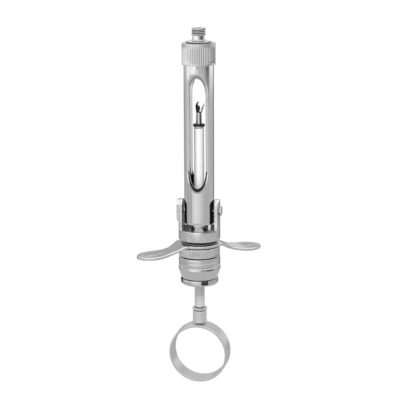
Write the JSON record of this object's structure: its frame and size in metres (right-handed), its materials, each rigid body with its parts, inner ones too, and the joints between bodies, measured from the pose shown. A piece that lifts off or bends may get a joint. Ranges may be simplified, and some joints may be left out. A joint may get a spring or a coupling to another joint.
{
  "type": "aspirating dental syringe",
  "caption": "Metal cartridge syringe with a windowed folding barrel, harpoon plunger, swivelling finger grip and thumb ring.",
  "frame": {"origin": "centre of the finger grip's plate, on the syringe's axis", "axes": "+Z along the axis towards the needle end; the barrel's windows face -Y and +Y; the pivot screws lie along X"},
  "size_m": [0.0434, 0.0274, 0.1319],
  "materials": {
    "chrome": "polished plate, light handling marks",
    "satin_steel": "fine satin",
    "spring_steel": "drawn wire and stamped washer",
    "rubber": "matt"
  },
  "bodies": {
    "handle": {"yoke": "chrome", "pivot_screw_left": "chrome", "pivot_screw_right": "chrome", "grip_washer": "spring_steel", "lock_ring": "chrome", "spring_housing": "chrome", "end_nut": "chrome", "guide_bush": "satin_steel", "rod_o_ring": "rubber", "spring_seat": "spring_steel", "pusher_spring": "spring_steel"},
    "barrel": {"barrel_tube": "chrome", "knurled_cap": "chrome", "cartridge_seat": "rubber", "needle_adaptor": "chrome"},
    "grip": {"finger_grip": "chrome"},
    "pusher": {"pusher_sleeve": "chrome"},
    "plunger": {"plunger_rod": "satin_steel", "harpoon": "chrome", "harpoon_nut": "chrome", "ring_collar": "chrome"},
    "thumb_piece": {"ring_stem": "satin_steel", "thumb_ring": "satin_steel", "ring_rivet": "satin_steel"}
  },
  "joints": [
    {"name": "barrel_fold", "type": "hinge", "parent": "handle", "child": "barrel", "pos_m": [0, 0, 0.0124], "axis": [1, 0, 0], "range_deg": [0, 15]},
    {"name": "finger_grip_swivel", "type": "hinge", "parent": "handle", "child": "grip", "pos_m": [0, 0, 0], "axis": [0, 0, 1], "continuous": true},
    {"name": "pusher_slide", "type": "slide", "parent": "handle", "child": "pusher", "axis": [0, 0, -1], "range_m": [0, 0.004], "stiffness_N_per_m": 500, "springref_m": -0.004, "deforming": ["pusher_spring"]},
    {"name": "plunger_slide", "type": "slide", "parent": "handle", "child": "plunger", "axis": [0, 0, 1], "range_m": [-0.044, 0.009]},
    {"name": "thumb_ring_swivel", "type": "hinge", "parent": "plunger", "child": "thumb_piece", "pos_m": [0, 0, -0.0419], "axis": [0, 0, 1], "continuous": true}
  ]
}
